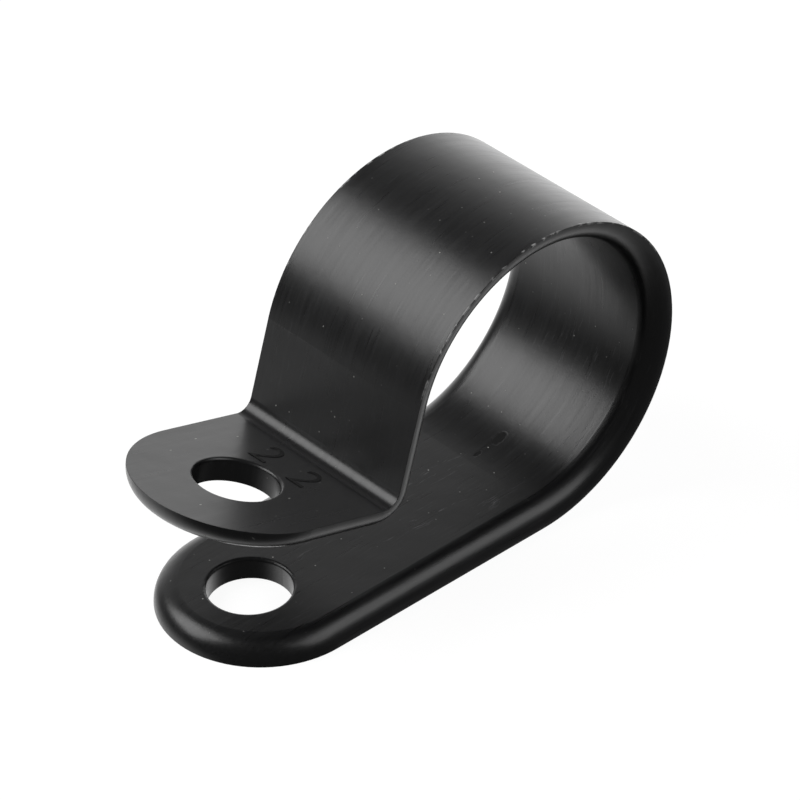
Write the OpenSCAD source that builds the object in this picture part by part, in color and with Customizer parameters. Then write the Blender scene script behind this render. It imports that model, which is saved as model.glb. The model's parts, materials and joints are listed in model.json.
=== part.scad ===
// P clip: a one-piece moulded nylon strap that holds a cable or pipe and takes one screw.
//
// The strap is flat outside and fully rounded along both edges of the cable side, so its
// section is a D lying on its back. It runs along the base, round the cable, down a short
// neck, back through a fold of about a right angle and out along the upper ear. The clip is
// drawn open, as it leaves the mould: the screw draws the upper ear down onto the base.
//
// Sizes in mm. X runs from the base hole towards the cable, Y along the cable, Z up from
// the base's underside. The origin is the centre of the base hole on that underside.

/* [Cable] */
// Diameter of the cable or pipe the loop closes on (22.2 mm is 7/8 in)
bore_d = 22.2; // [16:0.1:32]

/* [Strap] */
// Width of the strap along the cable (15.9 mm is 5/8 in)
strap_w = 15.9; // [12:0.1:20]
// Thickness of the strap, and radius of its cable-side edges
strap_t = 1.8; // [1.2:0.1:2.4]

/* [Screw holes] */
// Diameter of the screw hole in each ear, for a 1/4 in or M6 screw
hole_d = 6.3; // [4.2:0.1:7]
// Radius that eases the rim of each hole
rim_r = 0.25; // [0.1:0.05:0.5]

/* [Base] */
// From the base hole's centre to the near side of the cable
hole_to_cable = 10.5; // [9:0.1:14]
// From the base hole's centre to the base's rounded end
base_margin = 6.65; // [5.5:0.05:8]

/* [Neck and upper ear] */
// How far the neck leans out from upright, in degrees
neck_lean = 17; // [5:1:25]
// Radius of the outer face in the fold between neck and ear
fold_r = 1.15; // [0.6:0.05:2]
// Free height between the base and the fold above it
ear_gap = 6.2; // [4:0.1:8]
// How far the open ear rises towards its tip, in degrees
ear_rise = 16; // [8:1:22]
// How far the ear's hole stands back of the base's while the clip is open
ear_back = 0.8; // [0:0.1:2]

/* [Hidden] */
$fn = 96;

bore_r = bore_d / 2;
hole_r = hole_d / 2;
loop_r = bore_r + strap_t; // outside radius of the loop
flat_w = strap_w - 2 * strap_t; // cable-side flat, between the rounded edges
loop_x = hole_to_cable + bore_r; // the loop's axis
base_end_x = strap_w / 2 - base_margin; // centre of the base's rounded end
base_len = loop_x - base_end_x;

loop_turn = 270 - neck_lean; // the loop's turn, from the base round to the neck
fold_turn = 90 - neck_lean + ear_rise; // the fold's turn, from the neck back to the ear

// The neck is as long as it takes to bring the underside of the fold down to the ear gap.
fold_z = ear_gap + 2 * strap_t + fold_r;
neck_len = (loop_r * (1 + sin(neck_lean)) + fold_r * sin(neck_lean) - fold_z) / cos(neck_lean);
fold_x = loop_x - (loop_r + fold_r) * cos(neck_lean) - neck_len * sin(neck_lean);

// The ear's hole is concentric with the ear's rounded end.
ear_len = (fold_x - fold_r * sin(ear_rise) + ear_back) / cos(ear_rise);

// The neck and fold lie this far inside the faces of the loop and ear that they meet, and
// run this far into them, so the three overlap instead of touching on near-equal faces.
tuck = 0.003;
lap = 0.04;
cut = 1; // how far a cutter runs past the face it cuts
reach = 5 * loop_r; // side of a box that takes in more than the whole loop
nylon = [0.1, 0.1, 0.11];

// Section of the strap: outer face on y = 0, cable side at y = strap_t. With an inset,
// every face lies that far inside.
module strap_section(inset = 0) {
    translate([-flat_w / 2, inset]) square([flat_w, strap_t - 2 * inset]);
    for (side = [-1, 1])
        translate([side * flat_w / 2, 0]) intersection() {
            circle(r = strap_t - inset);
            translate([side < 0 ? -strap_t : 0, inset]) square(strap_t);
        }
}

// Half of that section, from its middle to one edge.
module half_section() {
    square([flat_w / 2, strap_t]);
    translate([flat_w / 2, 0]) intersection() {
        circle(r = strap_t);
        square(strap_t);
    }
}

// Straight strap along +X, with its outer face on z = 0.
module straight(length, inset = 0) {
    rotate([90, 0, 90]) linear_extrude(height = length) strap_section(inset);
}

// Full ring of strap round the cable, touching the x axis at the origin.
module ring_up() {
    translate([0, 0, loop_r]) rotate([90, 180, 0]) rotate_extrude()
        translate([loop_r, 0]) rotate(90) strap_section();
}

// Full ring of strap that bends away from the cable side, touching the x axis likewise.
module ring_down(inset) {
    translate([0, 0, -fold_r]) rotate([-90, 180, 0]) rotate_extrude()
        translate([fold_r, 0]) rotate(-90) strap_section(inset);
}

// Everything on the -X side of the origin, and everything on its +X side.
module behind() {
    translate([-reach, -reach / 2, -reach / 2]) cube(reach);
}

module ahead() {
    translate([0, -reach / 2, -reach / 2]) cube(reach);
}

// Semicircular end of the strap, on the +X side.
module round_end() {
    rotate(-90) rotate_extrude(angle = 180) half_section();
}

// Carries what follows to the end of the loop.
module after_loop() {
    translate([loop_x, 0, loop_r]) rotate([0, -loop_turn, 0]) translate([0, 0, -loop_r])
        children();
}

// Carries what follows to the end of the neck.
module after_neck() {
    after_loop() translate([neck_len, 0, 0]) children();
}

// Carries what follows to the end of the fold.
module after_fold() {
    after_neck() translate([0, 0, -fold_r]) rotate([0, fold_turn, 0])
        translate([0, 0, fold_r]) children();
}

// Straight hole up through the strap, with its upper rim eased.
module screw_hole() {
    translate([0, 0, -cut]) cylinder(r = hole_r, h = strap_t + 2 * cut);
    translate([0, 0, strap_t - rim_r]) rotate_extrude() difference() {
        square([hole_r + rim_r, rim_r + cut]);
        translate([hole_r + rim_r, 0]) circle(r = rim_r);
    }
}

module clip() {
    color(nylon) difference() {
        union() {
            // base leg and its rounded end
            translate([base_end_x, 0, 0]) {
                rotate(180) round_end();
                straight(base_len);
            }
            // loop round the cable: a ring less the sector between base and neck
            difference() {
                translate([loop_x, 0, 0]) ring_up();
                intersection() {
                    translate([loop_x, 0, 0]) behind();
                    after_loop() ahead();
                }
            }
            // neck
            after_loop() translate([-lap, 0, 0]) straight(lap + neck_len, tuck);
            // fold: the sector of a ring between neck and ear
            intersection() {
                after_neck() ring_down(tuck);
                after_neck() ahead();
                after_fold() translate([lap, 0, 0]) behind();
            }
            // upper ear
            after_fold() {
                straight(ear_len);
                translate([ear_len, 0, 0]) round_end();
            }
        }
        screw_hole();
        // the ear's hole is eased on the side where the screw's head sits
        after_fold() translate([ear_len, 0, strap_t]) rotate([180, 0, 0]) screw_hole();
    }
}

clip();
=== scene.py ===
import json
import math

import bmesh
import bpy
from mathutils import Matrix, Vector


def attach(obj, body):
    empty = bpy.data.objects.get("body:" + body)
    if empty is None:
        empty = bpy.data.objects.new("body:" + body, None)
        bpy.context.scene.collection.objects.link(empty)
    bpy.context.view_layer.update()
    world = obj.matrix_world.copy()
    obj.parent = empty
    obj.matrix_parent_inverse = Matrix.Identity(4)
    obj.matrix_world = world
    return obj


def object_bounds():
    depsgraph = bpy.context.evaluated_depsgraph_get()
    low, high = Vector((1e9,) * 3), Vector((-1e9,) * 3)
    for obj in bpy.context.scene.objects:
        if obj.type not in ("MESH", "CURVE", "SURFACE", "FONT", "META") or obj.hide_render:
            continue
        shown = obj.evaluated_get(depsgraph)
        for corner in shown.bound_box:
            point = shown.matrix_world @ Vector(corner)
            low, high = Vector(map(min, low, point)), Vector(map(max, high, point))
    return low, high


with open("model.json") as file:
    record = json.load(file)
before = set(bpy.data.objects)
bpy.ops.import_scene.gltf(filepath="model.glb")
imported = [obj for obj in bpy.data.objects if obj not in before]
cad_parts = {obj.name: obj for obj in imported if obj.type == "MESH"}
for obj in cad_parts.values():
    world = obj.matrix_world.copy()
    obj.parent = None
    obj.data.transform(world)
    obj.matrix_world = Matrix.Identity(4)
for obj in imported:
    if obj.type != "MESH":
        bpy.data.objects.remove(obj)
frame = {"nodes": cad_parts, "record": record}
cad_low, cad_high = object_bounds()

# ---- The strap ----
# One strap of black nylon, injection-moulded: flat outside, rounded along both edges of
# the cable side, bent round the cable and back over its own base. It is one solid piece.

MM = 0.001

mounts = {m["name"]: m for m in frame["record"]["mounts"]}
cable = Vector(mounts["cable"]["pos_m"])
bore_r = mounts["cable"]["dims"]["r_mm"]
loop_r = cable.z / MM
wall_r = (bore_r + loop_r) / 2
half_width = (cad_high.y - cad_low.y) / 2 / MM


def linear(hex_colour):
    """An sRGB hex colour as the linear RGBA that shaders take."""
    channels = [int(hex_colour[i:i + 2], 16) / 255 for i in (1, 3, 5)]
    return tuple(c / 12.92 if c <= 0.04045 else ((c + 0.055) / 1.055) ** 2.4
                 for c in channels) + (1.0,)


def result(value):
    """A node's first output that is in use; anything else stays as it is."""
    if isinstance(value, bpy.types.Node):
        return next(socket for socket in value.outputs if socket.enabled)
    return value


def add_node(owner, kind, inputs=None, **settings):
    """Adds a node to a material or world, sets it, and fills its inputs.

    An input takes a value, another node's socket, or a node, whose first output counts.
    """
    node = owner.node_tree.nodes.new("ShaderNode" + kind)
    for name, value in settings.items():
        setattr(node, name, value)
    for name, value in (inputs or {}).items():
        socket = node.inputs[name] if isinstance(name, int) else next(
            s for s in node.inputs if s.name == name and s.enabled)
        value = result(value)
        if isinstance(value, bpy.types.NodeSocket):
            owner.node_tree.links.new(value, socket)
        else:
            socket.default_value = value
    return node


# Nylon from a polished mould: nearly black in itself, under a soft gloss that mirrors
# the lamps as blurred bands. The draw of the mould and years in a bin have left fine lines
# along the strap, rubbed places on the cable side, a nick and some dust.
nylon = bpy.data.materials.new("moulded_black_nylon")
nylon.use_nodes = True
nylon_bsdf = nylon.node_tree.nodes["Principled BSDF"]
nylon_bsdf.inputs["IOR"].default_value = 1.53

# Millimetres from the cable's axis.
place = add_node(nylon, "TexCoord").outputs["Object"]
from_axis = add_node(nylon, "Mapping", {"Vector": place, "Location": tuple(-cable / MM),
                                        "Scale": (1 / MM, 1 / MM, 1 / MM)})
parts = add_node(nylon, "SeparateXYZ", {0: from_axis})
x, across, z = parts.outputs["X"], parts.outputs["Y"], parts.outputs["Z"]

# Millimetres along the strap from the base hole: straight along the base, then round the
# loop, and on down the neck. The turn is counted from opposite the loop's open mouth, so
# its jump falls in the gap. Heights are from the cable's axis.
MOUTH_TURN = math.radians(37)
NECK_HEIGHT = 3.8
BASE_HEIGHT = -9.0
NECK_RUN = 68.0  # on the neck's line where x + z is 0
NECK_RATE = -0.75  # change of run with each millimetre of x + z
bottom_turn = -math.pi / 2 - MOUTH_TURN
turned = add_node(nylon, "Mapping", {"Vector": from_axis, "Rotation": (0, MOUTH_TURN, 0)})
turned_parts = add_node(nylon, "SeparateXYZ", {0: turned})
turn = add_node(nylon, "Math", {0: turned_parts.outputs["Z"], 1: turned_parts.outputs["X"]},
                operation="ARCTAN2")
loop_run = add_node(nylon, "Math", {0: turn, 1: wall_r, 2: cable.x / MM - bottom_turn * wall_r},
                    operation="MULTIPLY_ADD")
base_run = add_node(nylon, "Math", {0: x, 1: cable.x / MM}, operation="ADD")
neck_run = add_node(nylon, "Math", {0: x, 1: z}, operation="ADD")
neck_run = add_node(nylon, "Math", {0: neck_run, 1: NECK_RATE, 2: NECK_RUN},
                    operation="MULTIPLY_ADD")
left = add_node(nylon, "Math", {0: x, 1: 0.0}, operation="LESS_THAN")
low = add_node(nylon, "Math", {0: z, 1: BASE_HEIGHT}, operation="LESS_THAN")
under_neck = add_node(nylon, "Math", {0: z, 1: NECK_HEIGHT}, operation="LESS_THAN")
on_left = add_node(nylon, "Math", {0: left, 1: under_neck}, operation="MULTIPLY")
left_run = add_node(nylon, "Mix", {"Factor": low, "A": neck_run, "B": base_run})
run = add_node(nylon, "Mix", {"Factor": on_left, "A": loop_run, "B": left_run})

# Millimetres of depth, counted outwards: the cable side is where it is small.
flat = add_node(nylon, "VectorMath", {0: from_axis, 1: (1.0, 0.0, 1.0)}, operation="MULTIPLY")
loop_depth = add_node(nylon, "VectorMath", {0: flat}, operation="LENGTH")
base_depth = add_node(nylon, "Math", {0: z, 1: -1.0}, operation="MULTIPLY")
left_depth = add_node(nylon, "Mix", {"Factor": low, "A": loop_r, "B": base_depth})
depth = add_node(nylon, "Mix", {"Factor": on_left, "A": loop_depth, "B": left_depth})
cable_side = add_node(nylon, "MapRange", {"Value": depth, "From Min": loop_r - 0.9,
                                          "From Max": loop_r - 1.4})
strap = add_node(nylon, "CombineXYZ", {0: run, 1: across, 2: depth})

# Draw lines: 0.2 mm apart and 5 mm long, faint outside and stronger on the cable side.
stretched = add_node(nylon, "VectorMath", {0: strap, 1: (1 / 5, 1 / 0.2, 1 / 0.2)},
                     operation="MULTIPLY")
draw_lines = add_node(nylon, "TexNoise", {"Vector": stretched, "Scale": 1.0, "Detail": 3.0,
                                          "Roughness": 0.6})

# Slow waves of the moulded skin, 3 mm across, and its grain. The real grain is some 0.05 mm,
# too fine to see, so it is drawn at 0.2 mm.
waves = add_node(nylon, "TexNoise", {"Vector": from_axis, "Scale": 1 / 3, "Detail": 2.0})
grain = add_node(nylon, "TexNoise", {"Vector": from_axis, "Scale": 1 / 0.2, "Detail": 1.0})

# Scratches: hairlines 0.1 mm wide and up to 2 mm long that waver off the strap's line,
# only in the rubbed places.
waver = add_node(nylon, "TexNoise", {"Vector": from_axis, "Scale": 1 / 1.5})
waver = add_node(nylon, "VectorMath", {0: waver.outputs["Color"], 1: (0.0, 0.6, 0.0)},
                 operation="MULTIPLY")
wavering = add_node(nylon, "VectorMath", {0: strap, 1: waver}, operation="ADD")
hair_place = add_node(nylon, "VectorMath", {0: wavering, 1: (1 / 1.8, 1 / 0.17, 1 / 0.17)},
                      operation="MULTIPLY")
hair_noise = add_node(nylon, "TexNoise", {"Vector": hair_place, "Scale": 1.0, "Detail": 3.0,
                                          "Roughness": 0.65})
hairlines = add_node(nylon, "MapRange", {"Value": hair_noise, "From Min": 0.58,
                                         "From Max": 0.72})
patches = add_node(nylon, "TexNoise", {"Vector": from_axis, "Scale": 1 / 4, "Detail": 2.0})
rubbed = add_node(nylon, "MapRange", {"Value": patches, "From Min": 0.5, "From Max": 0.75,
                                      "To Min": 0.0, "To Max": 0.3})

# The worst rubbed places, all on the cable side: along, across, half length, half width,
# how strongly. The outside is only lightly worn.
RUBBED_PLACES = (
    (18.0, 0.6, 3.6, 0.9, 0.8),
    (14.8, -2.9, 4.6, 0.7, 1.0),
    (19.5, -4.7, 3.0, 0.7, 0.8),
    (6.5, 0.5, 3.0, 1.2, 0.5),
    (29.0, -5.0, 3.2, 1.2, 1.0),
    (33.0, -2.0, 7.0, 5.5, 0.35),
    (42.3, 1.2, 1.6, 1.8, 0.8),
)
for along, side, length, width, amount in RUBBED_PLACES:
    offset = add_node(nylon, "VectorMath", {0: strap, 1: (along, side, 0.0)},
                      operation="SUBTRACT")
    offset = add_node(nylon, "VectorMath", {0: offset, 1: (1 / length, 1 / width, 0.0)},
                      operation="MULTIPLY")
    distance = add_node(nylon, "VectorMath", {0: offset}, operation="LENGTH")
    spot = add_node(nylon, "MapRange", {"Value": distance, "From Min": 1.3, "From Max": 0.3,
                                        "To Max": amount})
    rubbed = add_node(nylon, "Math", {0: rubbed, 1: spot}, operation="MAXIMUM")
rubbed = add_node(nylon, "Math", {0: rubbed, 1: cable_side}, operation="MULTIPLY")
outer_rub = add_node(nylon, "Math", {0: patches, 1: 0.12}, operation="MULTIPLY")
rubbed = add_node(nylon, "Math", {0: rubbed, 1: outer_rub}, operation="MAXIMUM")
scratches = add_node(nylon, "Math", {0: hairlines, 1: rubbed}, operation="MULTIPLY")

# Burrs: flecks 0.4 mm long on the loop's upper outer corners, where the halves of the mould met.
# They stand a little proud, and their pale colour is a painted highlight: glints on the lit
# corners.
edge = add_node(nylon, "Math", {0: across}, operation="ABSOLUTE")
at_side = add_node(nylon, "MapRange", {"Value": edge, "From Min": half_width - 0.16,
                                       "From Max": half_width - 0.08})
at_outside = add_node(nylon, "MapRange", {"Value": depth, "From Min": loop_r - 0.16,
                                          "From Max": loop_r - 0.08})
corner = add_node(nylon, "Math", {0: at_side, 1: at_outside}, operation="MULTIPLY")
high_up = add_node(nylon, "MapRange", {"Value": z, "From Min": NECK_HEIGHT,
                                       "From Max": NECK_HEIGHT + 4})
corner = add_node(nylon, "Math", {0: corner, 1: high_up}, operation="MULTIPLY")
burr_and_glint_noise = add_node(nylon, "TexNoise", {"Vector": from_axis, "Scale": 1 / 0.8, "Detail": 3.0})
burrs_and_glints = add_node(nylon, "MapRange", {"Value": burr_and_glint_noise, "From Min": 0.52, "From Max": 0.6})
burrs_and_glints = add_node(nylon, "Math", {0: burrs_and_glints, 1: corner}, operation="MULTIPLY")

# Dust: specks of 0.1 mm, one to three square millimetres, most of them hardly visible
# and one in nine bright. The flanks of the strap shed it.
dust_cells = add_node(nylon, "TexVoronoi", {"Vector": strap, "Scale": 1 / 1.7},
                      voronoi_dimensions="2D")
dust_pick = add_node(nylon, "SeparateColor", {0: dust_cells.outputs["Color"]})
brightness = add_node(nylon, "Math", {0: dust_pick, 1: 6.0}, operation="POWER")
lying = add_node(nylon, "MapRange", {"Value": edge, "From Min": half_width - 1.2,
                                     "From Max": half_width - 1.5})
specks = add_node(nylon, "MapRange", {"Value": dust_cells.outputs["Distance"],
                                      "From Min": 0.04, "From Max": 0.02})
specks = add_node(nylon, "Math", {0: specks, 1: brightness}, operation="MULTIPLY")
specks = add_node(nylon, "Math", {0: specks, 1: lying}, operation="MULTIPLY")

# Two gouges in line on the cable side, just where the base turns up into the loop, sunk and
# darkened with painted shade: along, across, half length, half width.
NICKS = ((25.0, 0.1, 0.75, 0.4), (22.7, 0.2, 0.45, 0.16))
ragged = add_node(nylon, "TexNoise", {"Vector": from_axis, "Scale": 1 / 0.6, "Detail": 2.0})
nick_and_shade = 0.0
for along, side, length, width in NICKS:
    offset = add_node(nylon, "VectorMath", {0: strap, 1: (along, side, 0.0)},
                      operation="SUBTRACT")
    offset = add_node(nylon, "VectorMath", {0: offset, 1: (1 / length, 1 / width, 0.0)},
                      operation="MULTIPLY")
    distance = add_node(nylon, "VectorMath", {0: offset}, operation="LENGTH")
    distance = add_node(nylon, "Math", {0: distance, 1: ragged}, operation="ADD")
    gouge = add_node(nylon, "MapRange", {"Value": distance, "From Min": 1.6, "From Max": 1.3})
    nick_and_shade = add_node(nylon, "Math", {0: nick_and_shade, 1: gouge}, operation="MAXIMUM")
nick_and_shade = add_node(nylon, "Math", {0: nick_and_shade, 1: cable_side}, operation="MULTIPLY")

# The black shifts a little with the draw lines. Scratches and dust are paler. The burrs are made
# pale as a painted highlight, and the nick is darkened as painted shade.
tone = add_node(nylon, "MapRange", {"Value": draw_lines, "From Min": 0.3, "From Max": 0.7})
colour = add_node(nylon, "Mix", {"Factor": tone, "A": linear("#0f0f10"), "B": linear("#151516")},
                  data_type="RGBA")
for amount, hex_colour in ((scratches, "#6e6e70"), (burrs_and_glints, "#a0a0a0"), (specks, "#b4b4b0"),
                           (nick_and_shade, "#040404")):
    colour = add_node(nylon, "Mix", {"Factor": amount, "A": colour, "B": linear(hex_colour)},
                      data_type="RGBA")
nylon.node_tree.links.new(result(colour), nylon_bsdf.inputs["Base Color"])

roughness = add_node(nylon, "MapRange", {"Value": draw_lines, "From Min": 0.3, "From Max": 0.7,
                                         "To Min": 0.27, "To Max": 0.35})
for amount, added in ((scratches, 0.2), (burrs_and_glints, 0.3), (specks, 0.4), (nick_and_shade, 0.6)):
    roughness = add_node(nylon, "Math", {0: amount, 1: added, 2: roughness},
                         operation="MULTIPLY_ADD")
nylon.node_tree.links.new(result(roughness), nylon_bsdf.inputs["Roughness"])

# Relief, in millimetres of height, over edges eased by 0.08 mm.
inside_lines = add_node(nylon, "Math", {0: draw_lines, 1: cable_side}, operation="MULTIPLY")
relief = add_node(nylon, "Math", {0: waves, 1: 0.025}, operation="MULTIPLY")
for amount, height in ((grain, 0.0008), (draw_lines, 0.002), (inside_lines, 0.003),
                       (scratches, -0.003), (burrs_and_glints, 0.02), (specks, 0.01), (nick_and_shade, -0.02)):
    relief = add_node(nylon, "Math", {0: amount, 1: height, 2: relief},
                      operation="MULTIPLY_ADD")
eased = add_node(nylon, "Bevel", {"Radius": 0.08 * MM}, samples=4)
bump = add_node(nylon, "Bump", {"Height": relief, "Distance": MM, "Normal": eased})
nylon.node_tree.links.new(result(bump), nylon_bsdf.inputs["Normal"])

clip = frame["nodes"]["clip"]
clip.material_slots[0].material = nylon

# ---- The size number ----
# A plain number on the upper ear between its hole and the fold: the bore in millimetres.
# The mould leaves it as thin strokes a few hundredths proud, made darker with painted shade.

DIGIT_HEIGHT = 2.7 * MM
STROKE_DEPTH = 0.08 * MM
FROM_EAR_HOLE = 4.9 * MM
DIGIT_SPACING = 2.0  # times the font's own spacing
STROKE_THINNING = -0.012  # in units of the font's size

ear_centre = Vector(mounts["ear_hole"]["pos_m"])
ear_up = Vector(mounts["ear_hole"]["axis"]).normalized()
reading = Vector((0, -1, 0))
digit_up = ear_up.cross(reading)
ear_top = ear_centre + ear_up * (loop_r - bore_r) / 2 * MM

text = bpy.data.curves.new("size_number", "FONT")
text.body = f"{bore_r * 2:.0f}"
text.align_x = "CENTER"
text.space_character = DIGIT_SPACING
text.offset = STROKE_THINNING
text.extrude = 0.5
text.resolution_u = 6
text_object = bpy.data.objects.new("size_text", text)
bpy.context.scene.collection.objects.link(text_object)
text_shape = text_object.evaluated_get(bpy.context.evaluated_depsgraph_get())
number_mesh = bpy.data.meshes.new_from_object(text_shape)
bpy.data.objects.remove(text_object)
number_mesh.name = "size_number"

heights = [v.co.y for v in number_mesh.vertices]
middle = (min(heights) + max(heights)) / 2
digit_scale = DIGIT_HEIGHT / (max(heights) - min(heights))
to_ear = Matrix.Translation(ear_top + digit_up * FROM_EAR_HOLE) @ Matrix(
    (reading, digit_up, ear_up)).transposed().to_4x4()
number_bm = bmesh.new()
number_bm.from_mesh(number_mesh)
bmesh.ops.remove_doubles(number_bm, verts=number_bm.verts, dist=0.0001)
bmesh.ops.translate(number_bm, verts=number_bm.verts, vec=(0, -middle, 0))
bmesh.ops.scale(number_bm, verts=number_bm.verts, vec=(digit_scale, digit_scale, STROKE_DEPTH))
bmesh.ops.transform(number_bm, verts=number_bm.verts, matrix=to_ear)
bmesh.ops.recalc_face_normals(number_bm, faces=number_bm.faces)
number_bm.to_mesh(number_mesh)
number_bm.free()
number = bpy.data.objects.new("size_number", number_mesh)
bpy.context.scene.collection.objects.link(number)

# The same nylon, darker and duller along the strokes, in blotches 0.5 mm wide: the dark is
# painted shade.
painted_shade_nylon = bpy.data.materials.new("moulded_nylon_painted_shade")
painted_shade_nylon.use_nodes = True
number_bsdf = painted_shade_nylon.node_tree.nodes["Principled BSDF"]
number_bsdf.inputs["IOR"].default_value = 1.53
number_place = add_node(painted_shade_nylon, "TexCoord").outputs["Object"]
blotches = add_node(painted_shade_nylon, "TexNoise", {"Vector": number_place, "Scale": 1 / (0.5 * MM),
                                        "Detail": 2.0})
shade_and_dullness = add_node(painted_shade_nylon, "MapRange", {"Value": blotches, "From Min": 0.35, "From Max": 0.65})
painted_shade_colour = add_node(painted_shade_nylon, "Mix", {"Factor": shade_and_dullness, "A": linear("#040404"),
                                       "B": linear("#101010")}, data_type="RGBA")
number_roughness = add_node(painted_shade_nylon, "MapRange", {"Value": shade_and_dullness, "To Min": 0.9, "To Max": 0.6})
painted_shade_nylon.node_tree.links.new(result(painted_shade_colour), number_bsdf.inputs["Base Color"])
painted_shade_nylon.node_tree.links.new(result(number_roughness), number_bsdf.inputs["Roughness"])
number_mesh.materials.clear()
number_mesh.materials.append(painted_shade_nylon)
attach(number, "root")

# ---- Floor ----
# A plain white table. It shows white to the camera and keeps a faint shadow of the clip.
# The clip's gloss mirrors the room's own lower half instead.

FLOOR_SIDE = 3.0
FLOOR_GLOW = 0.93  # what the floor adds to its own brightness for the camera

floor_bm = bmesh.new()
bmesh.ops.create_grid(floor_bm, x_segments=1, y_segments=1, size=FLOOR_SIDE / 2)
floor_mesh = bpy.data.meshes.new("floor")
floor_bm.to_mesh(floor_mesh)
floor_bm.free()
floor = bpy.data.objects.new("floor", floor_mesh)
bpy.context.scene.collection.objects.link(floor)

white_table = bpy.data.materials.new("white_table")
white_table.use_nodes = True
table_bsdf = white_table.node_tree.nodes["Principled BSDF"]
table_bsdf.inputs["Base Color"].default_value = linear("#6c6c6c")
table_bsdf.inputs["Roughness"].default_value = 0.9
table_bsdf.inputs["Specular IOR Level"].default_value = 0.0
rays = add_node(white_table, "LightPath")
shown = add_node(white_table, "Math", {0: rays.outputs["Is Camera Ray"], 1: FLOOR_GLOW},
                 operation="MULTIPLY")
table_bsdf.inputs["Emission Color"].default_value = linear("#ffffff")
white_table.node_tree.links.new(result(shown), table_bsdf.inputs["Emission Strength"])
floor_mesh.materials.append(white_table)
floor.visible_glossy = False

# ---- Lamps ----
# Two softboxes above the clip, both turned to its middle: the brighter one to the camera's
# left, the weaker one to its right.

centre = (cad_low + cad_high) / 2


def towards(azimuth, elevation):
    a, e = math.radians(azimuth), math.radians(elevation)
    return Vector((math.cos(a) * math.cos(e), math.sin(a) * math.cos(e), math.sin(e)))


def softbox(name, azimuth, elevation, distance, width, height, radiance):
    """A rectangular lamp that faces the clip; radiance 1 looks as bright as white."""
    lamp = bpy.data.lights.new(name, "AREA")
    lamp.shape = "RECTANGLE"
    lamp.size = width
    lamp.size_y = height
    lamp.energy = radiance * width * height * math.pi
    obj = bpy.data.objects.new(name, lamp)
    direction = towards(azimuth, elevation)
    obj.location = centre + direction * distance
    obj.rotation_euler = direction.to_track_quat("Z", "Y").to_euler()
    bpy.context.scene.collection.objects.link(obj)
    return obj


softbox("key_softbox", 132, 42, 0.6, 0.48, 0.40, 4.05)
softbox("side_softbox", -58, 41, 0.6, 0.52, 0.35, 2.0)

# The room: a white sweep behind the clip that fades upwards and to both sides, the bright
# far side of the table below it, and near darkness on the camera's side. The camera itself
# sees plain white. Heights here run from -1, straight down, to 1, straight up.
AMBIENT = 0.10
world = bpy.data.worlds.new("studio")
world.use_nodes = True
bpy.context.scene.world = world
direction = add_node(world, "TexCoord").outputs["Generated"]
height = add_node(world, "SeparateXYZ", {0: direction}).outputs["Z"]

to_sweep = add_node(world, "VectorMath", {0: direction, 1: towards(33, 0)},
                    operation="DOT_PRODUCT")
across_sweep = add_node(world, "MapRange", {"Value": to_sweep, "From Min": 0.42,
                                            "From Max": 1.0})
up_sweep = add_node(world, "MapRange", {"Value": height, "From Min": 0.06, "From Max": 0.88,
                                        "To Min": 1.75, "To Max": 0.0})
sweep = add_node(world, "Math", {0: across_sweep, 1: up_sweep}, operation="MULTIPLY")

to_table = add_node(world, "VectorMath", {0: direction, 1: towards(65, 0)},
                    operation="DOT_PRODUCT")
across_table = add_node(world, "MapRange", {"Value": to_table, "From Min": -0.5,
                                            "From Max": 0.33}, interpolation_type="SMOOTHSTEP")
down_table = add_node(world, "MapRange", {"Value": height, "From Min": 0.0, "From Max": -0.5,
                                          "To Max": 1.18})
far_table = add_node(world, "Math", {0: across_table, 1: down_table}, operation="MULTIPLY")

brightest = add_node(world, "Math", {0: sweep, 1: far_table}, operation="MAXIMUM")
light = add_node(world, "Math", {0: brightest, 1: AMBIENT}, operation="ADD")
camera_ray = add_node(world, "LightPath").outputs["Is Camera Ray"]
strength = add_node(world, "Mix", {"Factor": camera_ray, "A": light, "B": 1.0})
background = world.node_tree.nodes["Background"]
background.inputs["Color"].default_value = linear("#ffffff")
world.node_tree.links.new(result(strength), background.inputs["Strength"])

# ---- Camera ----
# A long lens from above the ears' side, level to within a degree. It stands 36 cm from the
# point that it is aimed at, near the clip's middle.

AZIMUTH, ELEVATION, ROLL = -42.15, 36.28, -0.7  # degrees
DISTANCE = 0.3642
LENS, SENSOR = 227.1, 36.0
AIM = Vector((0.01475, 0.0, 0.01087))

a, e, r = (math.radians(v) for v in (AZIMUTH, ELEVATION, ROLL))
back = Vector((math.sin(a) * math.cos(e), -math.cos(a) * math.cos(e), math.sin(e)))
level = Vector((math.cos(a), math.sin(a), 0))
lifted = back.cross(level)
right = math.cos(r) * level + math.sin(r) * lifted
up = -math.sin(r) * level + math.cos(r) * lifted
camera_data = bpy.data.cameras.new("camera")
camera_data.lens = LENS
camera_data.sensor_width = SENSOR
camera_data.clip_start = 0.01
camera_data.clip_end = 10
camera = bpy.data.objects.new("camera", camera_data)
camera.matrix_world = Matrix.Translation(AIM + back * DISTANCE) @ Matrix(
    (right, up, back)).transposed().to_4x4()
bpy.context.scene.collection.objects.link(camera)
bpy.context.scene.camera = camera
bpy.context.scene.view_settings.view_transform = "Standard"
